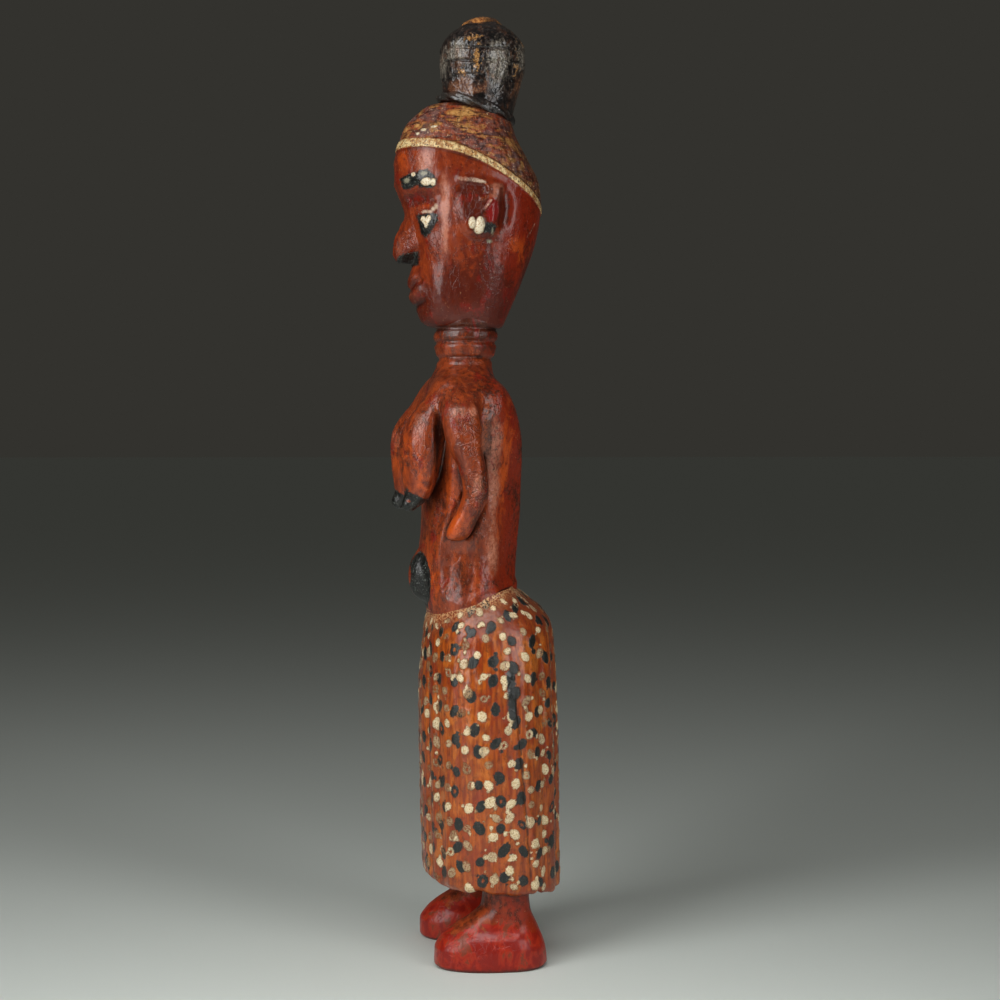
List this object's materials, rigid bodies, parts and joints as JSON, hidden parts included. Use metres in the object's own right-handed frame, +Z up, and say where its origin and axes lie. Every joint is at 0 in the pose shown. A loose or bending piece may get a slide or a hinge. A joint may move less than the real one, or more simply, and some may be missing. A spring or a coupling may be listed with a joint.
{
  "type": "standing figure",
  "caption": "Standing female figure carved from solid wood and painted, with a tall topknot, hair band, ringed neck, arms at the sides, spotted wrapper skirt and red shoes.",
  "frame": {"origin": "centre of the bounding box, on the ground that the soles stand on", "axes": "+Z up, the face looks along -Y, the figure's own left side is at +X"},
  "size_m": [0.091, 0.0824, 0.465],
  "materials": {
    "painted_wood": "glossy old paint, red-brown skin, orange-brown skirt with white and black dots, crimson shoes, worn and chipped"
  },
  "bodies": {
    "root": {"figure": "painted_wood"}
  },
  "joints": []
}
